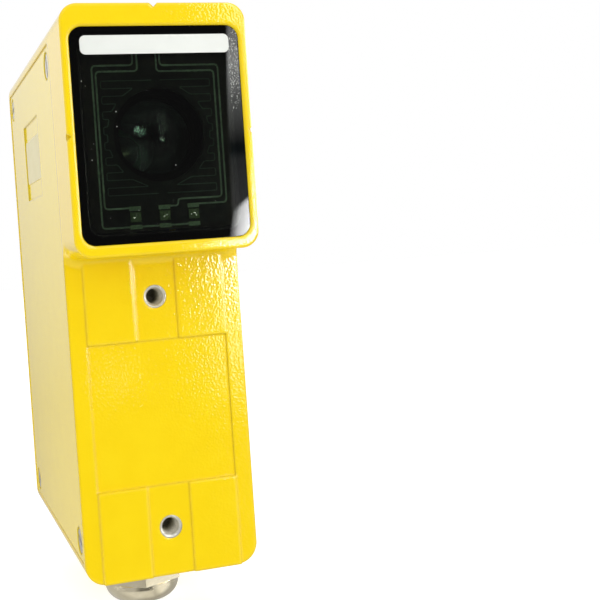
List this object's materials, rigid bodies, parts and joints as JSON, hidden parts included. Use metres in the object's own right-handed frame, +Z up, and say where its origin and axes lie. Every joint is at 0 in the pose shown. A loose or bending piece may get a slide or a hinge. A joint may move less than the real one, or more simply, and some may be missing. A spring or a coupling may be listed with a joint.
{
  "type": "single-beam safety sensor",
  "caption": "Slim painted cast housing with a stepped head, a dark window over a lens, a side cover and a cable gland: one end of a light beam that guards a machine.",
  "frame": {"origin": "midway between the two fixing holes, where their chamfers end", "axes": "+Z up along the housing, the window and the fixing holes face -Y, +X to the right seen from the front"},
  "size_m": [0.052, 0.126, 0.1825],
  "materials": {
    "yellow_paint": "glossy powder coat with fine orange peel",
    "black_rubber": "matte",
    "zinc_steel": "bright zinc",
    "smoked_glass": "polished",
    "label_white": "satin film",
    "label_cream": "satin film",
    "green_board": "solder mask",
    "led_plastic": "moulded",
    "brass_post": "turned",
    "black_plastic": "moulded",
    "clear_glass": "polished",
    "emitter_can": "plated",
    "terminal_green": "moulded",
    "can_aluminium": "drawn",
    "coil_winding": "enamelled wire",
    "chip_black": "moulded",
    "nickel_brass": "nickel plated"
  },
  "bodies": {
    "root": {"housing": "yellow_paint", "side_cover": "yellow_paint", "cover_gasket": "black_rubber", "cover_screws": "zinc_steel", "front_window": "smoked_glass", "window_seal": "black_rubber", "window_label": "label_white", "side_label": "label_cream", "top_label": "label_white", "front_board": "green_board", "indicator_leds": "led_plastic", "board_posts": "brass_post", "optic_plate": "black_plastic", "lens_tube": "black_plastic", "lens": "clear_glass", "lens_ring": "black_plastic", "tube_nut": "black_plastic", "emitter_diode": "emitter_can", "emitter_board": "green_board", "emitter_screws": "zinc_steel", "main_board": "green_board", "main_board_screws": "zinc_steel", "terminal_block": "terminal_green", "terminal_screws": "zinc_steel", "filter_capacitors": "can_aluminium", "power_coil": "coil_winding", "controller_chip": "chip_black", "gland_washer": "black_rubber", "gland_body": "nickel_brass", "gland_seal": "black_rubber", "gland_nut": "nickel_brass"}
  },
  "joints": []
}
